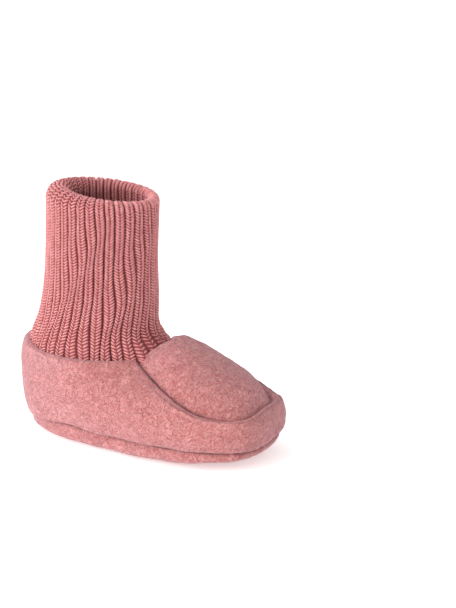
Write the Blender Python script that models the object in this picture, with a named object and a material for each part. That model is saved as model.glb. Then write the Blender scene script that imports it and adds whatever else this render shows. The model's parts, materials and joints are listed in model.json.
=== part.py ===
"""Felt baby bootie with a ribbed knit ankle cuff.

Metres, +Z up. +X points to the toe, +Y across the foot. The origin is on the floor, under the middle of the
bounding box. Every felt piece, lining and seam is its own object, and the cuff turns about the ankle axis.
"""

import math

import bmesh
import bpy
import numpy as np

MM = 0.001

# Driving dimensions
LENGTH = 115.0 * MM
WIDTH = 61.0 * MM
HEIGHT = 102.0 * MM
FELT = 3.0 * MM
LINING = 1.4 * MM
GAP = 0.35 * MM
THREAD_R = 0.35 * MM

# Heights above the floor
SEAM_Z = 8.6 * MM
COLLAR_Z = 38.0 * MM
TOE_Z = 22.5 * MM

# Ankle: where the cuff meets the felt. The cuff's base is part of an ellipsoid round this axis.
ANKLE_X = -23.5 * MM
COLLAR_A = 28.3 * MM
COLLAR_B = 24.3 * MM
COLLAR_DROP = 0.5 * MM
TOE_LIP_CUT = 0.5
CUFF_BASE_A = 27.0 * MM
CUFF_BASE_B = 22.9 * MM
CUFF_BASE_DROP = 4.0 * MM
CUFF_WALL = 4.2 * MM

# Vamp: the U-shaped top piece
VAMP_BACK_X = 1.0 * MM
VAMP_BACK_HALF = 12.0 * MM
VAMP_HALF = 22.5 * MM
VAMP_TIP_X = 55.0 * MM
HUMP_Z = 45.0 * MM

# Side panel's outline at each level: heel x, toe x, half width at the ball, at the heel, toe z, heel z
WALL_LEVELS = {
    "seam": (-53.0 * MM, 53.8 * MM, 27.3 * MM, 25.3 * MM, SEAM_Z, SEAM_Z),
    "low": (-55.3 * MM, 56.4 * MM, 29.7 * MM, 27.3 * MM, SEAM_Z + 1.6 * MM, SEAM_Z + 2.2 * MM),
    "bulge": (-57.0 * MM, LENGTH / 2, WIDTH / 2, 28.6 * MM, 13.5 * MM, 19.0 * MM),
    "high": (-LENGTH / 2, 57.3 * MM, 29.6 * MM, 28.4 * MM, 18.5 * MM, 29.0 * MM),
}

# Mesh resolution: segments along half of the outline, in front of and behind the vamp's back corner
FRONT_STEPS = 14
REAR_STEPS = 16
VAMP_ROWS = 14
VAMP_COLUMNS = 13


def material(name, colour, roughness):
    mat = bpy.data.materials.new(name)
    mat.use_nodes = True
    shader = mat.node_tree.nodes["Principled BSDF"]
    shader.inputs["Base Color"].default_value = (*colour, 1.0)
    shader.inputs["Roughness"].default_value = roughness
    shader.inputs["Metallic"].default_value = 0.0
    return mat


def resample(points, steps):
    """The same curve with its points spaced evenly along it."""
    lengths = np.linalg.norm(np.diff(points, axis=0), axis=1)
    along = np.concatenate([[0.0], np.cumsum(lengths)])
    wanted = np.linspace(0.0, along[-1], steps + 1)
    return np.stack([np.interp(wanted, along, points[:, k]) for k in range(3)], axis=1)


def both_sides(front, rear):
    """A closed ring from its +Y half: front runs from the toe to the corner, rear from there to the heel."""
    half = np.concatenate([front[:-1], rear])
    other = half[-2:0:-1] * np.array([1.0, -1.0, 1.0])
    return np.concatenate([half, other])


def foot_ring(heel_x, toe_x, ball_half, heel_half, toe_z, heel_z):
    """A foot-shaped ring: squarish at the toe, rounder and a little narrower at the heel."""
    middle = (heel_x + toe_x) / 2
    reach = (toe_x - heel_x) / 2

    def half(start, end, power):
        angle = np.linspace(start, end, 400)
        along = np.cos(angle)
        x = middle + reach * np.sign(along) * np.abs(along) ** (2 / power)
        share = np.clip((x - heel_x) / (toe_x - heel_x) / 0.75, 0, 1)
        width = heel_half + (ball_half - heel_half) * (0.5 - 0.5 * np.cos(math.pi * share))
        y = width * np.abs(np.sin(angle)) ** (2 / power)
        rise = 0.5 + 0.5 * np.clip(x / reach, -1, 1)
        z = heel_z + (toe_z - heel_z) * rise
        return np.stack([x, y, z], axis=1)

    front = resample(half(0.0, math.pi / 2, 3.0), FRONT_STEPS)
    rear = resample(half(math.pi / 2, math.pi, 2.5), REAR_STEPS)
    return both_sides(front, rear)


def vamp_edge(along):
    """Points on the +Y half of the vamp's seam, from the tip (0) to the back corner (1)."""
    angle = along * math.pi / 2
    x = VAMP_BACK_X + (VAMP_TIP_X - VAMP_BACK_X) * np.cos(angle) ** (2 / 4.5)
    share = np.clip((x - VAMP_BACK_X) / (36 * MM), 0, 1)
    width = VAMP_BACK_HALF + (VAMP_HALF - VAMP_BACK_HALF) * np.sin(share * math.pi / 2)
    y = width * np.sin(angle) ** (2 / 4.5)
    return np.stack([x, y, vamp_seam_z(x)], axis=1)


def vamp_seam_z(x):
    share = np.clip((VAMP_TIP_X - x) / (VAMP_TIP_X - VAMP_BACK_X), 0, 1)
    return TOE_Z + (COLLAR_Z - COLLAR_DROP - TOE_Z) * share**1.9


def outwards(ring):
    """Level unit vectors away from the foot's middle line, one for each point of a ring."""
    out = ring.copy()
    out[:, 0] -= np.clip(ring[:, 0], ANKLE_X, 30 * MM)
    out[:, 2] = 0
    return out / np.linalg.norm(out, axis=1)[:, None]


def top_ring(grow, lift):
    """The side panel's top edge, the vamp's seam in front and the collar ellipse behind, moved out by grow."""
    front = resample(vamp_edge(np.linspace(0.0, 1.0, 400)), FRONT_STEPS)
    corner = math.asin(VAMP_BACK_HALF / COLLAR_B)
    angle = np.linspace(corner, math.pi, 400)
    level = np.full_like(angle, COLLAR_Z - COLLAR_DROP)
    ellipse = np.stack([ANKLE_X + COLLAR_A * np.cos(angle), COLLAR_B * np.sin(angle), level], axis=1)
    ring = both_sides(front, resample(ellipse, REAR_STEPS))
    near_toe = np.clip((ring[:, 0] - 30 * MM) / (25 * MM), 0, 1)
    ring = ring + outwards(ring) * (grow * (1 - TOE_LIP_CUT * near_toe))[:, None]
    ring[:, 2] += lift
    return ring


def outer_wall():
    """Rings of the side panel's outer face, from the sole seam up and over the bulge to the top edge."""
    high = wall_ring("high", 0.0)
    shoulder = top_ring(3.0 * MM, 0.2 * MM)
    brow = high + (shoulder - high) * 0.62
    brow[:, 2] += 1.6 * MM
    rings = [wall_ring("seam", 0.0), wall_ring("low", 0.0), wall_ring("bulge", 0.0), high, brow, shoulder]
    return rings + [top_ring(1.4 * MM, 0.3 * MM), top_ring(0.0, 0.0)]


def inner_wall(depth):
    """Rings of a face inside the side panel, depth below its outer face. It never leans out over its own wall."""
    lower = [wall_ring(level, depth) for level in ("seam", "low", "bulge", "high")]
    top = top_ring(FELT - depth, -depth)
    out = outwards(top)
    over = np.clip(np.sum((top - lower[-1]) * out, axis=1), 0, None)
    top -= out * over[:, None]
    top[:, 2] = np.maximum(top[:, 2], lower[-1][:, 2] + 0.4 * MM)
    return lower + [top]


def wall_ring(level, inset):
    heel, toe, ball, rear, toe_z, heel_z = WALL_LEVELS[level]
    return foot_ring(heel + inset, toe - inset, ball - inset, rear - inset, toe_z, heel_z)


def smooth_rings(rings, count):
    """More rings along the same surface, by a curve through each column of points."""
    table = np.array(rings)
    found = []
    for step in np.linspace(0, len(rings) - 1, count):
        low = min(int(step), len(rings) - 2)
        share = step - low
        start = (table[low + 1] - table[max(low - 1, 0)]) / 2
        end = (table[min(low + 2, len(rings) - 1)] - table[low]) / 2
        a = 2 * share**3 - 3 * share**2 + 1
        b = share**3 - 2 * share**2 + share
        c = -2 * share**3 + 3 * share**2
        d = share**3 - share**2
        found.append(a * table[low] + b * start + c * table[low + 1] + d * end)
    return found


def new_object(name, mesh, mat, place=None):
    obj = bpy.data.objects.new(name, mesh)
    mesh.materials.append(mat)
    parts.objects.link(obj)
    if place is not None:
        obj.location = place
    return obj


def mesh_from(name, build):
    """A mesh filled by build(bm), with its faces turned outwards and shaded smooth."""
    bm = bmesh.new()
    build(bm)
    bmesh.ops.remove_doubles(bm, verts=bm.verts, dist=0.00001)
    bmesh.ops.recalc_face_normals(bm, faces=bm.faces)
    if bm.calc_volume(signed=True) < 0:
        bmesh.ops.reverse_faces(bm, faces=bm.faces)
    mesh = bpy.data.meshes.new(name)
    bm.to_mesh(mesh)
    bm.free()
    mesh.shade_smooth()
    mesh.set_sharp_from_angle(angle=math.radians(40))
    return mesh


def add_rings(bm, rings):
    rows = [[bm.verts.new(point) for point in ring] for ring in rings]
    return rows


def bridge(bm, low, high):
    count = len(low)
    for k in range(count):
        bm.faces.new((low[k], low[(k + 1) % count], high[(k + 1) % count], high[k]))


def closed_wall(outer, inner):
    """A ring-shaped wall: outer rings upwards, then inner rings downwards, and back to the first."""

    def build(bm):
        rows = add_rings(bm, list(outer) + list(inner)[::-1])
        for k, row in enumerate(rows):
            bridge(bm, row, rows[(k + 1) % len(rows)])

    return build


def capped(rings):
    """A solid of stacked rings with a flat face over the first and the last."""

    def build(bm):
        rows = add_rings(bm, rings)
        for low, high in zip(rows, rows[1:]):
            bridge(bm, low, high)
        bm.faces.new(rows[0])
        bm.faces.new(rows[-1])

    return build


def outer_sole():
    top = SEAM_Z - GAP
    rings = [
        foot_ring(-47 * MM, 48.5 * MM, 22.5 * MM, 20.0 * MM, 0.0, 0.0),
        foot_ring(-50.5 * MM, 52.0 * MM, 25.8 * MM, 23.4 * MM, 1.2 * MM, 1.2 * MM),
        foot_ring(-52.6 * MM, 54.0 * MM, 27.6 * MM, 25.3 * MM, 4.0 * MM, 4.0 * MM),
        foot_ring(-52.8 * MM, 54.0 * MM, 27.6 * MM, 25.4 * MM, 6.2 * MM, 6.2 * MM),
        foot_ring(-51.8 * MM, 53.0 * MM, 26.7 * MM, 24.5 * MM, top, top),
        foot_ring(-48.6 * MM, 49.8 * MM, 23.6 * MM, 21.4 * MM, top, top),
        foot_ring(-48.4 * MM, 49.6 * MM, 23.4 * MM, 21.2 * MM, FELT, FELT),
    ]
    return new_object("outer_sole", mesh_from("outer_sole", capped(rings)), felt)


def sole_layer(name, low, high, inset, mat):
    rings = [
        foot_ring(-48.0 * MM + inset, 49.2 * MM - inset, 23.0 * MM - inset, 20.8 * MM - inset, z, z)
        for z in (low, high)
    ]
    return new_object(name, mesh_from(name, capped(rings)), mat)


def side_panel():
    wall = closed_wall(smooth_rings(outer_wall(), 12), smooth_rings(inner_wall(FELT), 8))
    return new_object("side_panel", mesh_from("side_panel", wall), felt)


def lining_side_panel():
    name = "lining_side_panel"
    outer = smooth_rings(inner_wall(FELT + 2 * GAP), 8)[1:-1]
    inner = smooth_rings(inner_wall(FELT + 2 * GAP + LINING), 8)[1:-1]
    return new_object(name, mesh_from(name, closed_wall(outer, inner)), lining)


def centre_z(x):
    """Height of the vamp along its middle: up from the cuff to a hump, then down to the tip."""
    stations = np.array([4.0, 8.0, 13.0, 20.0, 28.0, 38.0, 47.0, 52.5, 55.0]) * MM
    below_hump = np.array([5.5, 2.2, 0.0, 1.1, 4.0, 8.8, 14.0, 18.0, 21.6]) * MM
    return HUMP_Z - np.interp(x, stations, below_hump)


def vamp_surface(depth, inset):
    """Rows of points over the vamp, from its back edge to its tip, depth below its outer face."""
    edges = resample(vamp_edge(np.linspace(0.0, 1.0, 400)), VAMP_ROWS)[::-1]
    across = np.sin(np.linspace(-math.pi / 2, math.pi / 2, VAMP_COLUMNS))
    rows = []
    for number, edge in enumerate(edges[:-1]):
        forward = number / VAMP_ROWS
        half = edge[1] - inset
        row = []
        for share in across:
            y = half * share
            crown = (1 - abs(share) ** 2.6) ** 0.75
            collar_x = ANKLE_X + COLLAR_A * math.sqrt(1 - (y / COLLAR_B) ** 2)
            back = max(0.0, 1 - 2 * forward) ** 2
            x = edge[0] + (collar_x - VAMP_BACK_X) * back + inset * (1 - 2 * forward)
            x += (VAMP_TIP_X - edge[0]) * 0.25 * crown * forward
            row.append((x, y, edge[2] + (centre_z(x) - depth - edge[2]) * crown))
        rows.append(row)
    return rows, (VAMP_TIP_X - inset, 0.0, TOE_Z)


def vamp_solid(top_depth, bottom_depth, inset):
    """The vamp between two depths, both measured from its outer face, inset from the seam."""

    def build(bm):
        for depth in (top_depth, bottom_depth):
            rows, tip = vamp_surface(depth, inset + depth)
            grid = [[bm.verts.new(point) for point in row] for row in rows]
            for low, high in zip(grid, grid[1:]):
                for k in range(VAMP_COLUMNS - 1):
                    bm.faces.new((low[k], low[k + 1], high[k + 1], high[k]))
            end = bm.verts.new(tip)
            for k in range(VAMP_COLUMNS - 1):
                bm.faces.new((grid[-1][k], grid[-1][k + 1], end))
        border = [edge for edge in bm.edges if len(edge.link_faces) == 1]
        bmesh.ops.bridge_loops(bm, edges=border)

    return build


def vamp():
    return new_object("vamp", mesh_from("vamp", vamp_solid(0.0, FELT, 1.6 * GAP)), felt)


def lining_vamp():
    solid = vamp_solid(FELT + GAP, FELT + GAP + LINING, 1.6 * GAP)
    return new_object("lining_vamp", mesh_from("lining_vamp", solid), lining)


def oval(centre_x, half_x, half_y, z, steps=48):
    angle = np.arange(steps) * 2 * math.pi / steps
    return np.stack(
        [centre_x + half_x * np.cos(angle), half_y * np.sin(angle), np.full(steps, z)], axis=1
    )


def rib_cuff():
    """The folded knit tube. Its origin is on the ankle axis, and its base is an ellipsoid round that axis."""

    def base(z, wall):
        narrow = math.sqrt(1 - (z / CUFF_BASE_A) ** 2)
        return 0.0, CUFF_BASE_A * narrow - wall, CUFF_BASE_B * narrow - wall, z

    top = HEIGHT - COLLAR_Z
    tube = [
        (-0.2 * MM, 24.8 * MM, 20.9 * MM, 13 * MM),
        (0.6 * MM, 24.4 * MM, 20.1 * MM, 21 * MM),
        (0.8 * MM, 23.8 * MM, 19.6 * MM, 34 * MM),
        (1.2 * MM, 23.6 * MM, 19.4 * MM, 49 * MM),
        (1.6 * MM, 23.7 * MM, 19.5 * MM, top - 3.4 * MM),
        (1.6 * MM, 23.1 * MM, 18.9 * MM, top - 0.9 * MM),
    ]
    outer = [base(z, 0.0) for z in (-CUFF_BASE_DROP, 0.0, 3.5 * MM, 7.0 * MM)] + tube
    rim = [(1.6 * MM, 21.6 * MM, 17.4 * MM, top)]
    inner = [(x, a - CUFF_WALL, b - CUFF_WALL, z) for x, a, b, z in tube]
    inner = [base(z, 3.0 * MM) for z in (-CUFF_BASE_DROP, 2.0 * MM, 7.0 * MM)] + inner
    rings = outer + rim + inner[::-1]

    def build(bm):
        rows = add_rings(bm, [oval(*ring) for ring in rings])
        for k, row in enumerate(rows):
            bridge(bm, row, rows[(k + 1) % len(rows)])

    return new_object("rib_cuff", mesh_from("rib_cuff", build), knit, (ANKLE_X, 0.0, COLLAR_Z))


def thread(name, points, cyclic):
    """A sewing thread along points, as a closed tube."""
    curve = bpy.data.curves.new(name, "CURVE")
    curve.dimensions = "3D"
    curve.bevel_depth = THREAD_R
    curve.bevel_resolution = 1
    curve.use_fill_caps = True
    spline = curve.splines.new("POLY")
    spline.points.add(len(points) - 1)
    for spot, point in zip(spline.points, points):
        spot.co = (*point, 1.0)
    spline.use_cyclic_u = cyclic
    return new_object(name, curve, cotton)


def sole_seam_thread():
    out = 0.25 * MM
    ring = foot_ring(-53.7 * MM - out, 54.5 * MM + out, 28.0 * MM + out, 26.0 * MM + out, SEAM_Z, SEAM_Z)
    ring[:, 2] -= 0.15 * MM
    return thread("sole_seam_thread", ring, True)


def vamp_seam_thread():
    half = resample(vamp_edge(np.linspace(0.0, 1.0, 400)), 28)[:-1]
    half[:, 2] += THREAD_R + 0.6 * MM
    other = half[1:] * np.array([1.0, -1.0, 1.0])
    return thread("vamp_seam_thread", np.concatenate([other[::-1], half]), False)


def cuff_seam_thread():
    between = (COLLAR_A - CUFF_BASE_A) / 2
    ring = oval(ANKLE_X, CUFF_BASE_A + between, CUFF_BASE_B + between, COLLAR_Z - 1.5 * MM)
    return thread("cuff_seam_thread", ring, True)


for old in list(bpy.data.objects):
    bpy.data.objects.remove(old, do_unlink=True)

parts = bpy.data.collections.new("baby_bootie")
bpy.context.scene.collection.children.link(parts)

felt = material("felt", (0.62, 0.25, 0.24), 0.95)
knit = material("knit", (0.60, 0.21, 0.20), 0.9)
lining = material("lining", (0.63, 0.30, 0.29), 0.95)
cotton = material("cotton", (0.45, 0.13, 0.12), 0.8)

outer_sole()
sole_layer("sole_padding", FELT + GAP, FELT + GAP + 2.4 * MM, 0.0, lining)
sole_layer("lining_sole", FELT + 2 * GAP + 2.4 * MM, FELT + 2 * GAP + 4.0 * MM, 0.0, lining)
side_panel()
lining_side_panel()
vamp()
lining_vamp()
rib_cuff()
sole_seam_thread()
vamp_seam_thread()
cuff_seam_thread()
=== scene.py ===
"""The looks of the felt baby bootie: felt panels, rib knit cuff, seams, light and camera. Metres, +Z up."""

import json
import math

import bpy
import numpy as np
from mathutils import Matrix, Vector, noise


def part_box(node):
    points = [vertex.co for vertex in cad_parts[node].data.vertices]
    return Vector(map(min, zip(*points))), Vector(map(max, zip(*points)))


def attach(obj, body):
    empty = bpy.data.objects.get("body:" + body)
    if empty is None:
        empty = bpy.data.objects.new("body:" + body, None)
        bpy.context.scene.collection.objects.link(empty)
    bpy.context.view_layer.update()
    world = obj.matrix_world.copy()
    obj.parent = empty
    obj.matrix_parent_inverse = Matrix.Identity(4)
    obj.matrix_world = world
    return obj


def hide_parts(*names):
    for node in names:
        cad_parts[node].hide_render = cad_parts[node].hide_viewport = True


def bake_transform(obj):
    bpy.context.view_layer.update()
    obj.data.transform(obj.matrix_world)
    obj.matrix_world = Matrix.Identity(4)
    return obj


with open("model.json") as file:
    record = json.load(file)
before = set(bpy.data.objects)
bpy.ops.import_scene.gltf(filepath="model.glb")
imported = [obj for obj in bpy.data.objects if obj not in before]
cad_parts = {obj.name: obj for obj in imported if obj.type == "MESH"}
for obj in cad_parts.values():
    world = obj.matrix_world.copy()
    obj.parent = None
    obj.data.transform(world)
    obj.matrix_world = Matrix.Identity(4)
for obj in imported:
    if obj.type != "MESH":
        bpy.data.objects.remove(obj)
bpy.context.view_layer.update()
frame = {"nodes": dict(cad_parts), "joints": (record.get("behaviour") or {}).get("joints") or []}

MM = 0.001
FLIP_Y = np.array([1.0, -1.0, 1.0])

# Places that come from the frame
SIDE_LOW, SIDE_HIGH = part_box("side_panel")
HEEL_X, TOE_X = SIDE_LOW.x, SIDE_HIGH.x
HALF_WIDTH = SIDE_HIGH.y
SEAM_Z = SIDE_LOW.z
SOLE_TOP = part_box("outer_sole")[1].z
CUFF_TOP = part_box("rib_cuff")[1].z
ANKLE_X, _, COLLAR_Z = frame["joints"][0]["pos_m"]

# Felt: its thickness, the collar's ellipse and the top edge that the side panel and the vamp share
FELT = 3.0 * MM
COLLAR_A = 28.3 * MM
COLLAR_B = 24.3 * MM
EDGE_Z = COLLAR_Z - 0.5 * MM

# Vamp: its outline, from its back corners on the collar to a squarish tip
VAMP_BACK_X = 1.0 * MM
VAMP_TIP_X = 52.2 * MM
VAMP_BACK_HALF = 12.0 * MM
VAMP_HALF = 22.5 * MM
VAMP_WIDENS = 36.0 * MM
VAMP_SQUARE = 4.5
VAMP_TIP_Z = 22.5 * MM
VAMP_SLOPE = 1.9
CORNER = math.asin(VAMP_BACK_HALF / COLLAR_B)

# Steps along half a ring, in front and behind, and along half of the vamp's back edge
FRONT_STEPS = 110
REAR_STEPS = 120
BACK_STEPS = 40


# ---------------------------------------------------------------- shapes of curves


def share_of(value, start, reach):
    """0 up to start, rising evenly to 1 over reach."""
    return np.clip((value - start) / reach, 0, 1)


def fade(value, start, reach):
    """0 up to start, rising to 1 over reach, easing in and out."""
    share = share_of(value, start, reach)
    return share * share * (3 - 2 * share)


def bell(value, middle, width, power=2):
    """1 at the middle, falling to 0 beyond width on either side. More power makes its top flatter."""
    return np.exp(-(((value - middle) / width) ** power))


def resample(points, steps):
    """The same line as steps + 1 points, evenly spaced along it."""
    lengths = np.linalg.norm(np.diff(points, axis=0), axis=1)
    along = np.concatenate([[0.0], np.cumsum(lengths)])
    wanted = np.linspace(0.0, along[-1], steps + 1)
    return np.stack([np.interp(wanted, along, points[:, k]) for k in range(3)], axis=1)


def both_sides(front, rear):
    """A closed ring from its +Y half, given as two lines that meet."""
    half = np.concatenate([front[:-1], rear])
    return np.concatenate([half, half[-2:0:-1] * FLIP_Y])


def smooth_rings(rings, count):
    """Rings along one smooth surface through the given rings."""
    table = np.array(rings)
    last = len(rings) - 1
    found = []
    for step in np.linspace(0, last, count):
        low = min(int(step), last - 1)
        share = step - low
        start = (table[low + 1] - table[max(low - 1, 0)]) / 2
        end = (table[min(low + 2, last)] - table[low]) / 2
        a = 2 * share**3 - 3 * share**2 + 1
        b = share**3 - 2 * share**2 + share
        c = -2 * share**3 + 3 * share**2
        d = share**3 - share**2
        found.append(a * table[low] + b * start + c * table[low + 1] + d * end)
    return np.array(found)


# ---------------------------------------------------------------- meshes and pieces


def grid_mesh(name, rows, close_rows=False):
    """A mesh of closed rings (rows) of points. close_rows joins the last ring to the first."""
    table = np.asarray(rows)
    count, around = table.shape[:2]
    k = np.arange(around)
    after = (k + 1) % around
    faces = []
    for row in range(count if close_rows else count - 1):
        low, high = row * around, ((row + 1) % count) * around
        faces.append(np.stack([low + k, low + after, high + after, high + k], axis=1))
    mesh = bpy.data.meshes.new(name)
    mesh.from_pydata(table.reshape(-1, 3).tolist(), [], np.concatenate(faces).tolist())
    mesh.update()
    mesh.shade_smooth()
    return mesh


def set_values(mesh, name, values):
    """Stores one number for each point, for the material to read."""
    stored = mesh.attributes.new(name, "FLOAT", "POINT")
    stored.data.foreach_set("value", np.asarray(values, np.float32).ravel())


def keep_rest(mesh):
    """Stores each point's place at rest, so that colour and weave would stay put if the piece were bent."""
    points = np.zeros(len(mesh.vertices) * 3, np.float32)
    mesh.vertices.foreach_get("co", points)
    rest = mesh.attributes.new("rest", "FLOAT_VECTOR", "POINT")
    rest.data.foreach_set("vector", points)


def roughen(mesh, amount, size, seed):
    """Moves each point along its normal by soft noise of the given height and feature size."""
    points = np.zeros(len(mesh.vertices) * 3)
    mesh.vertices.foreach_get("co", points)
    points = points.reshape(-1, 3)
    normals = np.zeros(points.size, np.float32)
    mesh.vertex_normals.foreach_get("vector", normals)
    offset = Vector((3.1 * seed, 7.7 * seed, 1.3 * seed))
    moves = np.array([noise.noise(Vector(p) / size + offset) for p in points]) * amount
    points += normals.reshape(-1, 3) * moves[:, None]
    mesh.vertices.foreach_set("co", points.ravel())
    mesh.update()


def add_piece(name, mesh, mat):
    """An object with the given mesh and material."""
    keep_rest(mesh)
    mesh.materials.append(mat)
    obj = bpy.data.objects.new(name, mesh)
    bpy.context.scene.collection.objects.link(obj)
    return obj


def foot_piece(mesh, mat, node):
    """A piece that rides on the foot in place of the CAD node."""
    obj = add_piece(mesh.name, mesh, mat)
    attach(obj, "foot")
    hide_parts(node)
    return obj


# ---------------------------------------------------------------- outlines of the foot

TOE_SQUARE = 3.0
HEEL_SQUARE = 2.5
BALL_AT = 0.75
FINE = 1200


def foot_ring(heel_x, toe_x, ball_half, heel_half, toe_z, heel_z):
    """A foot-shaped ring: squarish at the toe, rounder and a little narrower at the heel."""
    middle = (heel_x + toe_x) / 2
    reach = (toe_x - heel_x) / 2

    def half(start, end, square):
        """Part of the +Y side, between two angles counted from the toe."""
        angle = np.linspace(start, end, FINE)
        along = np.cos(angle)
        x = middle + reach * np.sign(along) * np.abs(along) ** (2 / square)
        share = share_of(x, heel_x, BALL_AT * (toe_x - heel_x))
        width = heel_half + (ball_half - heel_half) * (0.5 - 0.5 * np.cos(math.pi * share))
        y = width * np.abs(np.sin(angle)) ** (2 / square)
        rise = 0.5 + 0.5 * np.clip(x / reach, -1, 1)
        return np.stack([x, y, heel_z + (toe_z - heel_z) * rise], axis=1)

    front = resample(half(0.0, math.pi / 2, TOE_SQUARE), FRONT_STEPS)
    rear = resample(half(math.pi / 2, math.pi, HEEL_SQUARE), REAR_STEPS)
    return both_sides(front, rear)


def flat_ring(heel_x, toe_x, ball_half, heel_half, z):
    """A foot-shaped ring at one height."""
    return foot_ring(heel_x, toe_x, ball_half, heel_half, z, z)


# The small ring that closes a foot-shaped surface at its middle
MIDDLE_RING = (-20 * MM, 22 * MM, 1.5 * MM, 1.0 * MM)

# The side panel's wall at each level: in from the heel, from the toe and from the side at the ball,
# half width at the heel, height at the toe and height at the heel
WALL = {
    "seam": (4.5 * MM, 2.2 * MM, 2.4 * MM, 25.3 * MM, SEAM_Z, SEAM_Z),
    "low": (2.2 * MM, 0.3 * MM, 0.7 * MM, 27.3 * MM, 10.2 * MM, 10.8 * MM),
    "bulge": (0.5 * MM, 0.0, -0.2 * MM, 28.6 * MM, 14.0 * MM, 19.0 * MM),
    "high": (0.0, 0.1 * MM, 0.8 * MM, 28.4 * MM, 18.5 * MM, 29.0 * MM),
}


def wall_ring(level, inset, lift=0.0):
    """The wall's outline at a level, moved in by inset and up by lift."""
    heel, toe, ball, rear, toe_z, heel_z = WALL[level]
    return foot_ring(
        HEEL_X + heel + inset,
        TOE_X - toe - inset,
        HALF_WIDTH - ball - inset,
        rear - inset,
        toe_z + lift,
        heel_z + lift,
    )


def vamp_edge(count):
    """The +Y half of the vamp's seam, from the tip to the back corner, evenly spaced."""
    angle = np.linspace(0.0, math.pi / 2, FINE)
    reach = VAMP_TIP_X - VAMP_BACK_X
    x = VAMP_BACK_X + reach * np.cos(angle) ** (2 / VAMP_SQUARE)
    share = share_of(x, VAMP_BACK_X, VAMP_WIDENS)
    width = VAMP_BACK_HALF + (VAMP_HALF - VAMP_BACK_HALF) * np.sin(share * math.pi / 2)
    y = width * np.sin(angle) ** (2 / VAMP_SQUARE)
    rise = share_of(VAMP_TIP_X - x, 0, reach)
    z = VAMP_TIP_Z + (EDGE_Z - VAMP_TIP_Z) * rise**VAMP_SLOPE
    return resample(np.stack([x, y, z], axis=1), count)


def collar_arc(start, end, count):
    """Points on the collar's ellipse between two angles, counted from the toe."""
    angle = np.linspace(start, end, FINE // 2)
    level = np.full_like(angle, EDGE_Z)
    arc = np.stack([ANKLE_X + COLLAR_A * np.cos(angle), COLLAR_B * np.sin(angle), level], axis=1)
    return resample(arc, count)


# Where the top edge counts as near the toe, and how much thinner it is there
NEAR_TOE_X, NEAR_TOE_LONG = 30 * MM, 25 * MM
TOE_THINNER = 0.25


def top_ring(grow, lift, toe_lift=0.0):
    """The side panel's top edge, moved out by grow: the vamp's seam in front and the collar behind."""
    ring = both_sides(vamp_edge(FRONT_STEPS), collar_arc(CORNER, math.pi, REAR_STEPS))
    out = ring.copy()
    out[:, 0] -= np.clip(ring[:, 0], ANKLE_X, NEAR_TOE_X)
    out[:, 2] = 0
    out /= np.linalg.norm(out, axis=1)[:, None]
    near_toe = share_of(ring[:, 0], NEAR_TOE_X, NEAR_TOE_LONG)
    ring = ring + out * (grow * (1 - TOE_THINNER * near_toe))[:, None]
    ring[:, 2] += lift + toe_lift * near_toe**2
    return ring


# How far the felt has settled in use
HEEL_SAG = 3.8 * MM
TOE_SPRING = 3.0 * MM
CORNER_BACK = 2.6 * MM
CORNER_IN = 2.2 * MM
FAR_SAG = 1.7 * MM
NEAR_SAG = 1.0 * MM


def settle(points):
    """The felt as it has settled: heel seam low, toe lifted, +Y corner pushed in, sunk beside the vamp."""
    x, y, z = points[..., 0], points[..., 1], points[..., 2]
    heel = fade(-x, 16 * MM, 38 * MM) * (1 - fade(z, 9 * MM, 10 * MM)) * share_of(z, 0, SEAM_Z)
    spring = fade(x, 8 * MM, 48 * MM) * (1 - share_of(z, 0, SEAM_Z + 1 * MM))
    inside = 1 - fade((x / TOE_X) ** 4 + (y / HALF_WIDTH) ** 4, 0.60, 0.35)
    corner = fade(x, 34 * MM, 18 * MM) * fade(y, 0, 20 * MM) * inside * fade(z, 13 * MM, 9 * MM)
    high = fade(z, 15 * MM, 7 * MM)
    far = fade(x, 2 * MM, 30 * MM) * fade(y, 0, 16 * MM) * high
    near = fade(x, 16 * MM, 22 * MM) * fade(-y, 0, 14 * MM) * high
    moved = points.copy()
    moved[..., 0] -= CORNER_BACK * corner
    moved[..., 1] -= CORNER_IN * corner
    moved[..., 2] += TOE_SPRING * spring - HEEL_SAG * heel - FAR_SAG * far - NEAR_SAG * near
    return moved


# ---------------------------------------------------------------- felt pieces

TUFT_HIGH = 0.20 * MM
TUFT_SIZE = 1.9 * MM

# How many rings each felt piece has on its outer and inner face
PANEL_OUT, PANEL_IN = 74, 22
VAMP_OUT, VAMP_IN = 46, 18
SOLE_RINGS = 80

# The felt's brow, between the wall and its shoulder: how far towards the shoulder, and how far above the line
BROW_SHARE = 0.62
BROW_LIFT = 1.5 * MM

# Where the painted shade of the creases lies and how wide it is, counted in the rings that a piece is lofted
# through
PANEL_CREASE, PANEL_CREASE_WIDE = 0.8, 1.1
LIP_CREASE_WIDE = 0.85
SOLE_CREASE, SOLE_CREASE_WIDE = 7.4, 1.2

# The width of the painted shade in the vamp's crease, as a share of the way from its seam to its middle, and
# the painted shade of its inner face
VAMP_CREASE_WIDE = 0.089
VAMP_INNER_SHADE = 0.5


def felt_piece(mesh, mat, node, swell, size, seed):
    """A felt panel in place of the node: slow swells of the given height and size, and a matted surface."""
    roughen(mesh, swell, size, seed)
    roughen(mesh, TUFT_HIGH, TUFT_SIZE, seed + 1)
    foot_piece(mesh, mat, node)


def heel_fade(rows):
    """How strong the painted shade in the sole's seam is: the seam is pulled tight at the toe and soft at the
    heel.
    """
    return 0.2 + 0.8 * fade(rows[:, :, 0], -44 * MM, 22 * MM)


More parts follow.
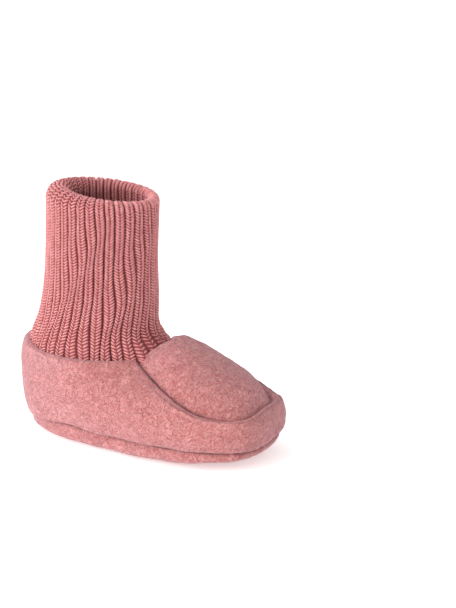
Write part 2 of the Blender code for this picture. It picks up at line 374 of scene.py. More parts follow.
def side_panel(mat):
    """The felt strip round heel and toe, with its rolled collar and its lip along the vamp."""
    high = wall_ring("high", 0.0)
    shoulder = top_ring(4.0 * MM, -0.45 * MM, 0.4 * MM)
    brow = high + (shoulder - high) * BROW_SHARE
    brow[:, 2] += BROW_LIFT
    outer = [
        wall_ring("seam", 3.0 * MM, -0.4 * MM),
        wall_ring("seam", 1.0 * MM, -0.6 * MM),
        wall_ring("seam", -0.5 * MM, -0.2 * MM),
        wall_ring("low", 0.0),
        wall_ring("bulge", 0.0),
        high,
        brow,
        shoulder,
        top_ring(2.7 * MM, 0.15 * MM, 0.6 * MM),
        top_ring(1.5 * MM, 0.0, 0.5 * MM),
        top_ring(0.6 * MM, -0.8 * MM, 0.3 * MM),
        top_ring(-0.3 * MM, -2.2 * MM),
    ]
    inner = [wall_ring(level, FELT) for level in WALL]
    inner.append(top_ring(0.0, -FELT))
    rows = settle(np.concatenate([smooth_rings(outer, PANEL_OUT), smooth_rings(inner, PANEL_IN)[::-1]]))
    lip = len(outer) - 1
    level = np.concatenate([np.linspace(0, lip, PANEL_OUT), np.full(PANEL_IN, lip)])[:, None]
    around = rows.shape[1]
    column = np.arange(around)[None, :]
    at_vamp = 1 - fade(np.minimum(column, around - column), FRONT_STEPS - 4, 6)
    # Painted shade: darker in the crease at the sole seam and in the crease along the vamp's seam
    sole_crease = heel_fade(rows) * bell(level, PANEL_CREASE, PANEL_CREASE_WIDE)
    lip_crease = at_vamp * bell(level, lip, LIP_CREASE_WIDE, 4)
    mesh = grid_mesh("side_panel_felt", rows, close_rows=True)
    set_values(mesh, "shade", np.clip(sole_crease + lip_crease, 0, 1))
    felt_piece(mesh, mat, "side_panel", 0.6 * MM, 16 * MM, 1)


# The vamp along its middle, in mm: x, and how far it lies below the top of its hump
HUMP_Z = 45.0 * MM
VAMP_MIDDLE = np.array([
    (0.0, 5.5),
    (4.0, 4.3),
    (8.0, 1.8),
    (13.0, 0.1),
    (20.0, 1.8),
    (28.0, 5.0),
    (38.0, 9.4),
    (47.0, 14.2),
    (52.5, 18.0),
    (56.0, 21.0),
])
VAMP_TUCK = 1.3 * MM
CROWN_FLAT, CROWN_ROUND = 2.7, 0.72
SPINE_X, SPINE_LONG = 14.0 * MM, 30.0 * MM


def centre_z(x):
    """Height of the vamp along its middle: a hump in front of the cuff, then down to the tip."""
    stations, below = VAMP_MIDDLE.T * MM
    return HUMP_Z - np.interp(x, stations, below)


def vamp_rings(depth, inset, count):
    """Rings over the vamp from its seam to its middle line, at a depth below its outer face."""
    edge = both_sides(vamp_edge(FRONT_STEPS), collar_arc(CORNER, 0.0, BACK_STEPS))
    spine = np.zeros_like(edge)
    spine[:, 0] = SPINE_X + SPINE_LONG * (edge[:, 0] - VAMP_BACK_X) / (VAMP_TIP_X - VAMP_BACK_X)
    away = edge - spine
    away[:, 2] = 0
    length = np.linalg.norm(away, axis=1)
    low = edge[:, 2] - VAMP_TUCK
    rings = []
    for share in np.sin(np.linspace(math.pi / 2, 0.0, count)):
        crown = (1 - share**CROWN_FLAT) ** CROWN_ROUND
        ring = spine + away * (share * (1 - inset / length))[:, None]
        ring[:, 2] = low + (centre_z(ring[:, 0]) - depth - low) * crown
        rings.append(ring)
    return np.array(rings)


def vamp(mat):
    """The felt top piece, crowned over the toes and tucked in along its seam."""
    outer = vamp_rings(0.0, -0.6 * MM, VAMP_OUT)
    inner = vamp_rings(FELT, FELT, VAMP_IN)
    rows = settle(np.concatenate([outer[::-1], inner]))
    # Painted shade: darker in the crease along the seam and on the inner face
    to_seam = np.linspace(1, 0, VAMP_OUT)
    crease_shade = np.concatenate([bell(to_seam, 0, VAMP_CREASE_WIDE), np.full(VAMP_IN, VAMP_INNER_SHADE)])
    mesh = grid_mesh("vamp_felt", rows)
    set_values(mesh, "shade", np.repeat(crease_shade, rows.shape[1]))
    felt_piece(mesh, mat, "vamp", 0.5 * MM, 14 * MM, 3)


def sole(mat):
    """The felt sole: flat below, with a puffy edge that rises round the seam."""
    top = SOLE_TOP / MM
    # Heel x, toe x, half width at the ball, half width at the heel and height, in mm
    outline = (
        (-43.0, 43.0, 16.5, 15.5, 0.0),
        (-47.4, 47.4, 21.4, 20.8, 0.0),
        (-50.4, 51.4, 24.9, 23.8, 0.9),
        (-52.4, 54.2, 27.6, 26.0, 2.8),
        (-52.4, 55.0, 28.2, 26.2, 5.6),
        (-52.7, 53.6, 27.3, 25.2, top - 0.3),
        (-51.2, 52.1, 25.8, 23.8, top + 0.2),
        (-49.0, 50.0, 23.8, 21.6, top - 0.3),
        (-48.4, 49.6, 23.4, 21.2, FELT / MM),
    )
    rings = [flat_ring(*MIDDLE_RING, 0.0)]
    rings += [flat_ring(*(MM * value for value in row)) for row in outline]
    rings.append(flat_ring(*MIDDLE_RING, FELT))
    rows = smooth_rings(rings, SOLE_RINGS)
    rows[:, :, 2] = np.maximum(rows[:, :, 2], 0.0)
    rows = settle(rows)
    level = np.linspace(0, len(rings) - 1, SOLE_RINGS)
    mesh = grid_mesh("sole_felt", rows)
    # Painted shade in the crease at the seam, softer towards the heel
    set_values(mesh, "shade", heel_fade(rows) * bell(level, SOLE_CREASE, SOLE_CREASE_WIDE)[:, None])
    felt_piece(mesh, mat, "outer_sole", 0.5 * MM, 12 * MM, 5)


# ---------------------------------------------------------------- lining and wadding

LINING = 1.0 * MM
LINING_GAP = 0.3 * MM
LINING_OUT = FELT + LINING_GAP
LINING_IN = LINING_OUT + LINING
LINING_EDGE = 0.6 * MM
PANEL_LINING_RINGS = 30
PAD_RINGS = 40


def side_lining(mat):
    """The jersey layer inside the side panel."""
    outer = [wall_ring(level, LINING_OUT) for level in WALL]
    inner = [wall_ring(level, LINING_IN) for level in WALL]
    outer.append(top_ring(-1.6 * MM, -LINING_OUT))
    inner.append(top_ring(-1.6 * MM - LINING, -LINING_OUT - LINING))
    faces = [smooth_rings(outer, PANEL_LINING_RINGS), smooth_rings(inner, PANEL_LINING_RINGS)[::-1]]
    mesh = grid_mesh("side_panel_lining", settle(np.concatenate(faces)), close_rows=True)
    foot_piece(mesh, mat, "lining_side_panel")


def vamp_lining(mat):
    """The jersey layer inside the vamp."""
    outer = vamp_rings(LINING_OUT, LINING_OUT + LINING_EDGE, VAMP_IN)
    inner = vamp_rings(LINING_IN, LINING_IN + LINING_EDGE, VAMP_IN)
    mesh = grid_mesh("vamp_lining", settle(np.concatenate([outer[::-1], inner])))
    foot_piece(mesh, mat, "lining_vamp")


def sole_wadding(mat):
    """The pad in the sole: a crowned foot-shaped cushion, flat below and pinched at its edge."""
    low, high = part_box("sole_padding")
    rings = [flat_ring(*MIDDLE_RING, low.z)]
    # In from both ends, in from the sides and half width at the heel, in mm, and height
    for end_in, side_in, heel_half, z in (
        (5.0, 5.0, 16.0, low.z),
        (0.8, 0.8, 20.0, low.z + 0.5 * MM),
        (0.0, 0.0, 21.0, (low.z + high.z) / 2),
        (2.0, 2.0, 19.0, high.z - 0.6 * MM),
        (9.0, 8.0, 13.0, high.z),
    ):
        heel, toe = low.x + end_in * MM, high.x - end_in * MM
        rings.append(flat_ring(heel, toe, high.y - side_in * MM, heel_half * MM, z))
    rings.append(flat_ring(*MIDDLE_RING, high.z))
    mesh = grid_mesh("sole_wadding", settle(smooth_rings(rings, PAD_RINGS)))
    pad = foot_piece(mesh, mat, "sole_padding")


# ---------------------------------------------------------------- seams

THREAD_R = 0.3 * MM
THREAD_STEP = 0.3 * MM
THREAD_SIDES = 10
THREAD_TWIST = 1.1
THREAD_SHADE = 0.3
VAMP_SEAM_STEPS = 200
COLLAR_STEPS = 240


def thread_piece(node, path, cyclic, mat):
    """A two-ply sewing thread along path, in place of the node."""
    steps = int(np.linalg.norm(np.diff(path, axis=0), axis=1).sum() / THREAD_STEP)
    if cyclic:
        line = resample(np.concatenate([path, path[:1]]), steps)[:-1]
        ahead = np.roll(line, -1, axis=0) - np.roll(line, 1, axis=0)
    else:
        line = resample(path, steps)
        ahead = np.gradient(line, axis=0)
    ahead /= np.linalg.norm(ahead, axis=1, keepdims=True)
    side = np.cross(ahead, (0, 0, 1))
    side /= np.linalg.norm(side, axis=1, keepdims=True)
    above = np.cross(side, ahead)
    spin = np.linspace(0, 2 * math.pi, THREAD_SIDES, endpoint=False)
    twist = spin[None, :] - THREAD_TWIST * np.arange(len(line))[:, None]
    radius = THREAD_R * (0.85 + 0.2 * np.abs(np.cos(twist)))[:, :, None]
    ring = np.cos(spin)[None, :, None] * side[:, None] + np.sin(spin)[None, :, None] * above[:, None]
    mesh = grid_mesh(node.replace("thread", "plies"), line[:, None] + radius * ring, close_rows=cyclic)
    set_values(mesh, "shade", np.full(len(mesh.vertices), THREAD_SHADE))
    foot_piece(mesh, mat, node)


def seams(mat):
    """The threads that sew the vamp, the sole and the cuff to the side panel."""
    # The last two points are left out, so that the thread stops short of the cuff
    half = vamp_edge(VAMP_SEAM_STEPS)[:-2]
    around = np.concatenate([(half[1:] * FLIP_Y)[::-1], half])
    around[:, 2] -= 1.0 * MM
    thread_piece("vamp_seam_thread", settle(around), False, mat)
    thread_piece("sole_seam_thread", settle(wall_ring("seam", 0.3 * MM, -0.6 * MM)), True, mat)
    angle = np.linspace(0, 2 * math.pi, COLLAR_STEPS, endpoint=False)
    x = ANKLE_X + (COLLAR_A - 0.4 * MM) * np.cos(angle)
    y = (COLLAR_B - 0.4 * MM) * np.sin(angle)
    collar = np.stack([x, y, np.full_like(angle, COLLAR_Z - 1.5 * MM)], axis=1)
    thread_piece("cuff_seam_thread", collar, True, mat)


# ---------------------------------------------------------------- the cuff's surface

RIBS = 33

# The cuff's oval at each height, in mm: height, centre ahead of the ankle, half length and half width
CUFF_OVALS = np.array([
    (36.0, -0.3, 29.6, 25.6),
    (38.0, -0.4, 29.6, 25.6),
    (41.0, -0.8, 28.6, 24.6),
    (44.0, -1.1, 27.0, 23.0),
    (48.0, -0.9, 25.8, 21.7),
    (52.0, -0.3, 25.4, 21.0),
    (60.0, 0.6, 24.9, 20.1),
    (66.0, 0.8, 24.4, 19.7),
    (76.0, 0.9, 24.0, 19.4),
    (95.0, 1.5, 24.1, 19.5),
    (102.0, 1.6, 24.1, 19.5),
])
HALF_HEIGHT = 70 * MM
OVAL_STEPS = 4000

# The rim is a rolled fold, thicker on one side. The knit runs up, over it and down inside.
RIM_R = 3.7 * MM
RIM_UNEVEN = 1.4 * MM
RIM_THICK_SIDE = math.radians(210)
CUFF_WALL = 4.4 * MM
WALL_EVENS_OUT = 16 * MM
CUFF_BASE_Z = 36.2 * MM
CUFF_RIM_Z = CUFF_TOP - RIM_R + 0.2 * MM
OUTER_RUN = CUFF_RIM_Z - CUFF_BASE_Z
RIM_RUN = math.pi * RIM_R
RIM_END = OUTER_RUN + RIM_RUN
INNER_RUN = 60 * MM

# The knit spreads where it meets the vamp, up to FLARE_FROM, and less over FLARE_FADE above that
FLARE = 0.09
FLARE_FROM, FLARE_FADE = 38 * MM, 8 * MM
FLARE_AT = math.radians(-14)
FLARE_WIDE = math.radians(20)


def cuff_oval(z):
    """Centre x and half sizes along X and Y of the cuff's outer face at height z."""
    heights, ahead, half_x, half_y = CUFF_OVALS.T * MM
    centre = ANKLE_X + np.interp(z, heights, ahead)
    return centre, np.interp(z, heights, half_x), np.interp(z, heights, half_y)


def even_angles():
    """The angle at each share of the way round, spaced evenly along the cuff's oval at half height."""
    angle = np.linspace(0, 2 * math.pi, OVAL_STEPS + 1)
    _, half_x, half_y = cuff_oval(HALF_HEIGHT)
    x, y = half_x * np.cos(angle), half_y * np.sin(angle)
    along = np.concatenate([[0], np.cumsum(np.hypot(np.diff(x), np.diff(y)))])
    return lambda t: np.interp(np.mod(t, 1.0) * along[-1], along, angle) + 2 * math.pi * np.floor(t)


angle_at = even_angles()


def wave(turns):
    """A sine wave that repeats at each whole turn."""
    return np.sin(2 * math.pi * turns)


def wander(t, run):
    """How far the ribs stray sideways, as a share of the way round, at a place along the knit."""
    drop = np.clip(1 - run / OUTER_RUN, 0, 1)
    sway = (0.75 + 0.3 * wave(t * 2 + 0.1)) * np.sin(math.pi * drop**0.63)
    small = 0.13 * wave(t * 5 + drop * 1.3) + 0.06 * wave(t * 11 + drop * 2.6)
    return (0.28 * sway + small * np.minimum(1, 4 * drop)) / RIBS


def cuff_point(t, run, out):
    """The point at share t round the cuff and run along the knit from its base, out from its face."""
    run = np.asarray(run, float)
    angle = angle_at(t + wander(t, run))
    radius = RIM_R + RIM_UNEVEN * np.cos(angle - RIM_THICK_SIDE)
    rim = np.clip((run - OUTER_RUN) / RIM_R, 0, math.pi)
    down = np.clip(run - RIM_END, 0, None)
    z_face = CUFF_BASE_Z + np.minimum(run, OUTER_RUN) - down
    z = z_face + (radius + out) * np.sin(rim)
    inward = (radius + out) * (1 - np.cos(rim)) - out
    inward += (CUFF_WALL - 2 * radius) * fade(down, 0, WALL_EVENS_OUT)
    off_flare = np.mod(angle - FLARE_AT + math.pi, 2 * math.pi) - math.pi
    flare = 1 + FLARE * bell(off_flare, 0, FLARE_WIDE, 4) * (1 - fade(z_face, FLARE_FROM, FLARE_FADE))
    centre, half_x, half_y = cuff_oval(z_face)
    half_x, half_y = half_x * flare - inward, half_y * flare - inward
    return np.stack([centre + half_x * np.cos(angle), half_y * np.sin(angle), z], axis=-1)


def unit(vectors):
    """The same directions, each 1 long."""
    return vectors / np.linalg.norm(vectors, axis=-1, keepdims=True)


def cuff_frame(t, run):
    """Place on the cuff's face, direction round the cuff, direction along the knit and outward direction."""
    step_t, step_run = 0.0008, 0.15 * MM
    around = unit(cuff_point(t + step_t, run, 0.0) - cuff_point(t - step_t, run, 0.0))
    along = unit(cuff_point(t, run + step_run, 0.0) - cuff_point(t, run - step_run, 0.0))
    return cuff_point(t, run, 0.0), around, along, unit(np.cross(around, along))


# ---------------------------------------------------------------- the knit

# A course is one row of stitches, and the first one is centred FIRST_COURSE of a course above the knit's base
COURSE = 1.2 * MM
FIRST_COURSE = 0.6
RIB_PITCH = 4.05 * MM
RIB_HALF = 2.0 * MM
RIB_DEPTH = 1.9 * MM
INNER_STITCHES = 24 * MM

# One leg of a stitch: its tilt from the rib, half its length, width and thickness, how far it lies to the
# side of the rib's middle and below the cuff's face, and how far the rib's rounded face drops at its edge
LEG_TILT = 50.0
LEG_LONG = 1.12 * MM
LEG_WIDE = 0.33 * MM
LEG_HIGH = 0.52 * MM
LEG_SIDE = 0.93 * MM
LEG_SUNK = 0.25 * MM
RIB_ROUND = 0.55 * MM

# How much the legs differ from each other: tilt in degrees, length, width and height
TILT_SPREAD = 4.0
LONG_SPREAD = 0.06
WIDE_SPREAD = 0.08
LIFT_SPREAD = 0.04 * MM

LEG_SIDES = 6
LEG_RINGS = 4

# The backing: rings on its outer face, on the rim and on its inner face, and points round each rib
OUTER_RINGS, RIM_RINGS, INNER_RINGS = 70, 18, 40
RIB_POINTS = 10


def leg_shape():
    """A spindle along Y, 2 long and 2 thick: the points and the faces of one stitch leg."""
    points = [(0.0, -1.0, 0.0)]
    for ring in range(1, LEG_RINGS):
        turn = math.pi * ring / LEG_RINGS
        wide = math.sin(turn) ** 0.8
        for side in range(LEG_SIDES):
            spin = 2 * math.pi * side / LEG_SIDES
            points.append((wide * math.cos(spin), -math.cos(turn), wide * math.sin(spin)))
    points.append((0.0, 1.0, 0.0))
    last = len(points) - 1
    top = last - LEG_SIDES
    faces = []
    for side in range(LEG_SIDES):
        after = (side + 1) % LEG_SIDES
        faces.append((0, 1 + side, 1 + after))
        for low in range(1, top, LEG_SIDES):
            high = low + LEG_SIDES
            faces.append((low + side, high + side, high + after, low + after))
        faces.append((top + side, last, top + after))
    return np.array(points), faces


def inside_shade(run):
    """How much painted shade the knit gets where it has turned down inside the leg."""
    return 0.45 * fade(run, OUTER_RUN + 0.55 * RIM_RUN, 9 * MM)


def stitches():
    """Every stitch as a V of two yarn legs, in columns up the ribs, over the rim and down inside."""
    rng = np.random.default_rng(7)
    courses = int((RIM_END + INNER_STITCHES) / COURSE)
    rib, course, side = np.meshgrid(np.arange(RIBS), np.arange(courses), [-1.0, 1.0], indexing="ij")
    side = side.ravel()
    count = len(side)
    t = rib.ravel() / RIBS
    run = (course.ravel() + FIRST_COURSE) * COURSE
    place, around, along, outward = cuff_frame(t, run)

    tilt = np.radians(LEG_TILT + TILT_SPREAD * rng.standard_normal(count)) * side
    tall = LEG_LONG * (1 + LONG_SPREAD * rng.standard_normal(count))
    wide = LEG_WIDE * (1 + WIDE_SPREAD * rng.standard_normal(count))
    lift = LIFT_SPREAD * rng.standard_normal(count)
    shape, leg_faces = leg_shape()
    across = shape[None, :, 0] * wide[:, None]
    length = shape[None, :, 1] * tall[:, None]
    sin, cos = np.sin(tilt)[:, None], np.cos(tilt)[:, None]
    half_rib = 0.5 / RIBS
    pitch = np.linalg.norm(cuff_point(t + half_rib, run, 0.0) - cuff_point(t - half_rib, run, 0.0), axis=-1)
    sideways = ((side * LEG_SIDE)[:, None] + length * sin + across * cos) * (pitch / RIB_PITCH)[:, None]
    forwards = length * cos - across * sin
    drop = RIB_ROUND * (sideways / RIB_HALF) ** 2
    height = shape[None, :, 2] * LEG_HIGH - drop + lift[:, None] - LEG_SUNK
    points = place[:, None, :].copy()
    for direction, far in ((around, sideways), (along, forwards), (outward, height)):
        points = points + direction[:, None, :] * far[:, :, None]

    each = len(shape)
    faces = [tuple(first + k for k in face) for first in range(0, count * each, each) for face in leg_faces]
    mesh = bpy.data.meshes.new("cuff_stitches")
    mesh.from_pydata(points.reshape(-1, 3).tolist(), [], faces)
    mesh.update()
    mesh.shade_smooth()
    # Painted light and shade: pale on top of each leg, darker below it and towards the rib's edges
    leg_shade = 0.32 - 0.85 * shape[None, :, 2] + 0.22 * (np.abs(sideways) / RIB_HALF) ** 3
    set_values(mesh, "shade", np.clip(leg_shade + inside_shade(run)[:, None], 0, 1))
    set_values(mesh, "stitch", np.repeat(rng.random(count), each))
    return mesh


def backing():
    """The knit behind the stitches: a tube with furrows between the ribs, folded over at the rim."""
    runs = np.concatenate([
        np.linspace(0, OUTER_RUN, OUTER_RINGS),
        OUTER_RUN + np.linspace(0.04, 1, RIM_RINGS) * RIM_RUN,
        RIM_END + np.linspace(0.02, 1, INNER_RINGS) * INNER_RUN,
    ])
    around = RIBS * RIB_POINTS
    t = np.arange(around) / around
    phase = np.mod(t * RIBS + 0.5, 1.0) - 0.5
    furrow = 1 - bell(phase, 0, 0.45, 12)
    at_rim = bell(runs, OUTER_RUN + RIM_RUN / 2, 0.55 * RIM_RUN, 4)
    rows = []
    for run, rim in zip(runs, at_rim):
        depth = RIB_DEPTH * (1 - 0.65 * rim) * furrow
        rows.append(cuff_point(t, np.full_like(t, run), -RIB_ROUND - depth))
    mesh = grid_mesh("cuff_backing", rows)
    # Painted shade: the backing is dark, for the shade between the stitches, a little darker in the furrows
    # and lighter deep inside the leg
    dark = 1.0 - 0.5 * fade(runs, RIM_END + 12 * MM, 12 * MM)
    set_values(mesh, "shade", dark[:, None] * (0.85 + 0.15 * furrow)[None, :])
    return mesh


def cuff(mat):
    """The rib knit cuff: backing and stitches, in place of the CAD cuff."""
    for mesh in (backing(), stitches()):
        obj = add_piece(mesh.name, mesh, mat)
        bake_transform(obj)
        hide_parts("rib_cuff")


# ---------------------------------------------------------------- material nodes


def new_material(name):
    """A material with its node tree and its shader."""
    mat = bpy.data.materials.new(name)
    mat.use_nodes = True
    return mat, mat.node_tree, mat.node_tree.nodes["Principled BSDF"]


def feed(tree, socket, value):
    """Gives a socket another node's output, a colour or a number."""
    if isinstance(value, bpy.types.NodeSocket):
        tree.links.new(value, socket)
    elif isinstance(value, tuple):
        socket.default_value = (*value, 1.0)
    else:
        socket.default_value = value


def set_inputs(tree, node, inputs):
    """Feeds a node's named sockets."""
    for name, value in inputs.items():
        feed(tree, node.inputs[name], value)


def stored(tree, name):
    """The node that reads what the mesh stores for each point under the name."""
    node = tree.nodes.new("ShaderNodeAttribute")
    node.attribute_name = name
    return node


def noise_at(tree, place, scale, detail, rough, distortion=0.0):
    """Noise from 0 to 1, at a scale that counts its features per metre."""
    node = tree.nodes.new("ShaderNodeTexNoise")
    settings = {"Scale": scale, "Detail": detail, "Roughness": rough, "Distortion": distortion}
    set_inputs(tree, node, {**settings, "Vector": place})
    return node.outputs["Fac"]


def ramp(tree, value, low, high):
    """The value stretched so that low gives 0 and high gives 1."""
    node = tree.nodes.new("ShaderNodeMapRange")
    set_inputs(tree, node, {"From Min": low, "From Max": high, "Value": value})
    return node.outputs["Result"]


def mix(tree, share, first, second, kind="MIX"):
    """The first colour, with the given share of the second over it."""
    node = tree.nodes.new("ShaderNodeMix")
    node.data_type = "RGBA"
    node.blend_type = kind
    # A Mix node has one set of sockets for each data type: 6, 7 and output 2 are the colours
    for socket, value in ((0, share), (6, first), (7, second)):
        feed(tree, node.inputs[socket], value)
    return node.outputs[2]


def maths(tree, operation, *values):
    """The result of a Math node."""
    node = tree.nodes.new("ShaderNodeMath")
    node.operation = operation
    for socket, value in zip(node.inputs, values):
        feed(tree, socket, value)
    return node.outputs[0]


def times(tree, value, factor):
    """The value multiplied by the factor."""
    return maths(tree, "MULTIPLY", value, factor)


def bump(tree, height, distance, strength, below=None):
    """The surface raised by distance where height is 1, over any bumps below."""
    node = tree.nodes.new("ShaderNodeBump")
    set_inputs(tree, node, {"Distance": distance, "Strength": strength, "Height": height})
    if below is not None:
        tree.links.new(below, node.inputs["Normal"])
    return node.outputs["Normal"]


# ---------------------------------------------------------------- materials

WHITE = (1.0, 1.0, 1.0)

# Colours in linear light. The felt's crease colour is painted shade for its creases and seams.
FELT_LIGHT, FELT_DARK, FELT_CREASE_SHADE = (0.86, 0.405, 0.39), (0.58, 0.165, 0.148), (0.15, 0.014, 0.014)
FELT_WARM, FELT_CLOUD, FELT_SHEEN = (0.80, 0.60, 0.58), (0.88, 0.84, 0.85), (0.95, 0.84, 0.98)
THREAD_LIGHT, THREAD_DARK, THREAD_DEEP = (0.42, 0.12, 0.11), (0.32, 0.08, 0.07), (0.20, 0.04, 0.03)
# The yarn's deepest colour is painted shade, for the gaps between the stitches, the furrows and the inside of
# the cuff
YARN_DARK, YARN_LIGHT, YARN_PAINTED_SHADE = (0.68, 0.232, 0.225), (0.80, 0.33, 0.33), (0.15, 0.010, 0.013)
YARN_FIBRE, YARN_CLOUD, YARN_SHEEN = (0.91, 0.53, 0.53), (0.59, 0.19, 0.18), (0.96, 0.86, 0.96)
JERSEY_DARK, JERSEY_LIGHT, JERSEY_SLUB = (0.66, 0.60, 0.54), (0.84, 0.79, 0.73), (0.74, 0.67, 0.60)
WADDING_DARK, WADDING_LIGHT = (0.62, 0.60, 0.56), (0.86, 0.85, 0.82)


def felt_material(name, light, dark, crease_shade):
    """Boiled wool: matted tufts in two tones, curly pale fibres on top and a soft nap at the edges, with
    painted shade where the piece's shade attribute asks for it.
    """
    mat, tree, shader = new_material(name)
    place = stored(tree, "rest").outputs["Vector"]
    tuft = noise_at(tree, place, scale=700, detail=3, rough=0.62, distortion=1.5)
    fibre = noise_at(tree, place, scale=1500, detail=2, rough=0.6, distortion=1.5)
    curl = noise_at(tree, place, scale=520, detail=2, rough=0.5, distortion=3.0)
    cloud = noise_at(tree, place, scale=170, detail=3, rough=0.6)
    off_curl = maths(tree, "ABSOLUTE", maths(tree, "SUBTRACT", curl, 0.5))
    strand = ramp(tree, off_curl, 0.035, 0.0)
    pale = tuple(min(1.0, 1.25 * value + 0.04) for value in light)

    colour = mix(tree, ramp(tree, tuft, 0.40, 0.60), dark, light)
    warm = mix(tree, ramp(tree, fibre, 0.38, 0.62), FELT_WARM, WHITE)
    colour = mix(tree, 0.9, colour, warm, "MULTIPLY")
    colour = mix(tree, times(tree, strand, 0.55), colour, pale)
    soft = mix(tree, ramp(tree, cloud, 0.35, 0.65), FELT_CLOUD, WHITE)
    colour = mix(tree, 1.0, colour, soft, "MULTIPLY")
    # Painted shade: darker towards the crease colour where the shade attribute is high
    colour = mix(tree, times(tree, stored(tree, "shade").outputs["Fac"], 0.9), colour, crease_shade)
    normal = bump(tree, tuft, distance=1.2 * MM, strength=1.0)
    normal = bump(tree, fibre, distance=0.6 * MM, strength=1.0, below=normal)
    normal = bump(tree, strand, distance=0.10 * MM, strength=0.6, below=normal)
    set_inputs(tree, shader, {
        "Base Color": colour,
        "Normal": normal,
        "Roughness": 0.95,
        "Specular IOR Level": 0.12,
        "Sheen Weight": 0.6,
        "Sheen Roughness": 0.4,
        "Sheen Tint": FELT_SHEEN,
    })
    return mat


def jersey_material():
    """Cotton jersey lining: fine courses with a little slub, in undyed white."""
    mat, tree, shader = new_material("lining_jersey")
    place = tree.nodes.new("ShaderNodeTexCoord").outputs["Object"]
    courses = tree.nodes.new("ShaderNodeTexWave")
    courses.bands_direction = "Z"
    set_inputs(tree, courses, {"Scale": 320, "Distortion": 1.5, "Vector": place})
    slub = noise_at(tree, place, scale=300, detail=3, rough=0.6)
    colour = mix(tree, courses.outputs["Fac"], JERSEY_DARK, JERSEY_LIGHT)
    colour = mix(tree, times(tree, slub, 0.4), colour, JERSEY_SLUB)
    normal = bump(tree, courses.outputs["Fac"], distance=0.15 * MM, strength=0.8)
    set_inputs(tree, shader, {"Base Color": colour, "Normal": normal, "Roughness": 0.9})
    return mat


def wadding_material():
    """Loose white fibre wadding."""
    mat, tree, shader = new_material("sole_fibre")
    place = tree.nodes.new("ShaderNodeTexCoord").outputs["Object"]
    fibre = noise_at(tree, place, scale=900, detail=4, rough=0.7, distortion=3.0)
    colour = mix(tree, ramp(tree, fibre, 0.35, 0.65), WADDING_DARK, WADDING_LIGHT)
    normal = bump(tree, fibre, distance=0.6 * MM, strength=0.9)
    set_inputs(tree, shader, {"Base Color": colour, "Normal": normal, "Roughness": 1.0})
    return mat


def knit_material():
    """Fine wool yarn: each stitch its own tone, with pale fibres on it, and painted shade between the ribs,
    below the legs and inside the cuff.
    """
    mat, tree, shader = new_material("rib_knit")
    place = stored(tree, "rest").outputs["Vector"]
    fibre = noise_at(tree, place, scale=2600, detail=2, rough=0.6, distortion=1.0)
    cloud = noise_at(tree, place, scale=120, detail=3, rough=0.5)
    colour = mix(tree, stored(tree, "stitch").outputs["Fac"], YARN_DARK, YARN_LIGHT)
    colour = mix(tree, times(tree, ramp(tree, fibre, 0.45, 0.7), 0.5), colour, YARN_FIBRE)
    colour = mix(tree, times(tree, ramp(tree, cloud, 0.35, 0.7), 0.3), colour, YARN_CLOUD)
    # Painted shade: darker towards the deepest colour where the shade attribute is high
    colour = mix(tree, times(tree, stored(tree, "shade").outputs["Fac"], 0.85), colour, YARN_PAINTED_SHADE)
    set_inputs(tree, shader, {
        "Base Color": colour,
        "Normal": bump(tree, fibre, distance=0.12 * MM, strength=0.7),
        "Roughness": 0.85,
        "Specular IOR Level": 0.2,
        "Sheen Weight": 0.5,
        "Sheen Roughness": 0.35,
        "Sheen Tint": YARN_SHEEN,
    })
    return mat


# ---------------------------------------------------------------- floor, light and camera

FLOOR_SIZE = 12.0
FLOOR_Z = -0.2 * MM  # just below the CAD's sole
FLOOR_PALE = (0.92, 0.92, 0.92)
FLOOR_GLOW = 0.4
AIR = 0.70
LAMP_AWAY = 1.5
# Name, direction it comes from, strength, softness in degrees, tint
LIGHTS = (
    ("key_light", (-0.46, -0.80, 0.36), 2.65, 45, (1.0, 0.99, 0.98)),
    ("fill_light", (0.80, -0.45, 0.45), 0.35, 70, WHITE),
    ("rim_light", (-0.85, 0.40, 0.40), 1.3, 50, (0.84, 0.86, 1.0)),
)

# The camera: angles in degrees, the point it looks at and its distance from it, lens and sensor in mm, shift
AZIMUTH, ELEVATION = 30.0, 19.3
LOOK_AT = Vector((0, 0, 50 * MM))
DISTANCE = 0.925
LENS, SENSOR = 135.0, 36.0
SHIFT_X, SHIFT_Y = 0.129, 0.0265


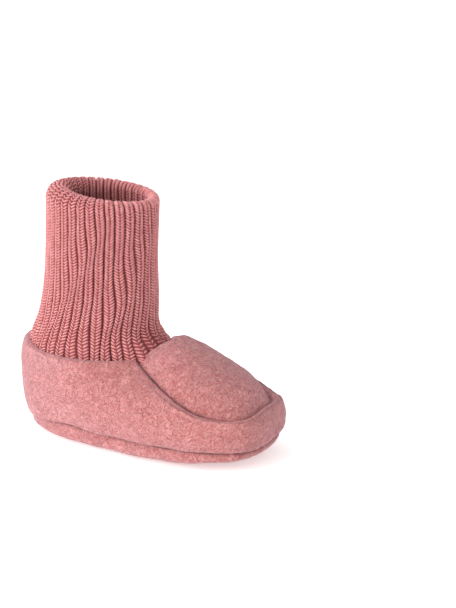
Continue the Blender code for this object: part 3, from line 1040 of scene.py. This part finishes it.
def studio_floor():
    """A plain pale floor that glows a little, so that it stays pale in the shadow."""
    bpy.ops.mesh.primitive_plane_add(size=FLOOR_SIZE, location=(0, 0, FLOOR_Z))
    floor = bpy.context.object
    floor.name = "studio_floor"
    mat, tree, shader = new_material("studio_floor")
    glow = {"Emission Color": WHITE, "Emission Strength": FLOOR_GLOW}
    set_inputs(tree, shader, {"Base Color": FLOOR_PALE, "Roughness": 0.9, **glow})
    floor.data.materials.append(mat)


def studio_light():
    """White air all round, and three broad soft lights."""
    world = bpy.data.worlds.new("studio_air")
    bpy.context.scene.world = world
    world.use_nodes = True
    set_inputs(world.node_tree, world.node_tree.nodes["Background"], {"Color": WHITE, "Strength": AIR})
    for name, towards, power, spread, tint in LIGHTS:
        data = bpy.data.lights.new(name, "SUN")
        data.energy = power
        data.angle = math.radians(spread)
        data.color = tint
        lamp = bpy.data.objects.new(name, data)
        bpy.context.scene.collection.objects.link(lamp)
        lamp.location = Vector(towards).normalized() * LAMP_AWAY
        lamp.rotation_euler = Vector(towards).to_track_quat("Z", "Y").to_euler()


def camera():
    """The camera, round from the bootie's side and a little above it."""
    azimuth, elevation = math.radians(AZIMUTH), math.radians(ELEVATION)
    back = Vector((
        math.sin(azimuth) * math.cos(elevation),
        -math.cos(azimuth) * math.cos(elevation),
        math.sin(elevation),
    ))
    data = bpy.data.cameras.new("camera")
    data.lens = LENS
    data.sensor_width = SENSOR
    data.shift_x = SHIFT_X
    data.shift_y = SHIFT_Y
    cam = bpy.data.objects.new("camera", data)
    bpy.context.scene.collection.objects.link(cam)
    cam.location = LOOK_AT + back * DISTANCE
    cam.rotation_euler = (-back).to_track_quat("-Z", "Y").to_euler()
    bpy.context.scene.camera = cam


# ---------------------------------------------------------------- the scene

bpy.context.scene.view_settings.view_transform = "Standard"
felt = felt_material("boiled_wool", FELT_LIGHT, FELT_DARK, FELT_CREASE_SHADE)
yarn = knit_material()
jersey = jersey_material()
wadding = wadding_material()
thread = felt_material("sewing_thread", THREAD_LIGHT, THREAD_DARK, THREAD_DEEP)
camera()
studio_floor()
studio_light()
side_panel(felt)
vamp(felt)
sole(felt)
side_lining(jersey)
vamp_lining(jersey)
sole_wadding(wadding)
seams(thread)
cuff(yarn)

lining_sole = frame["nodes"]["lining_sole"]
lining_sole.data.materials.clear()
lining_sole.data.materials.append(jersey)
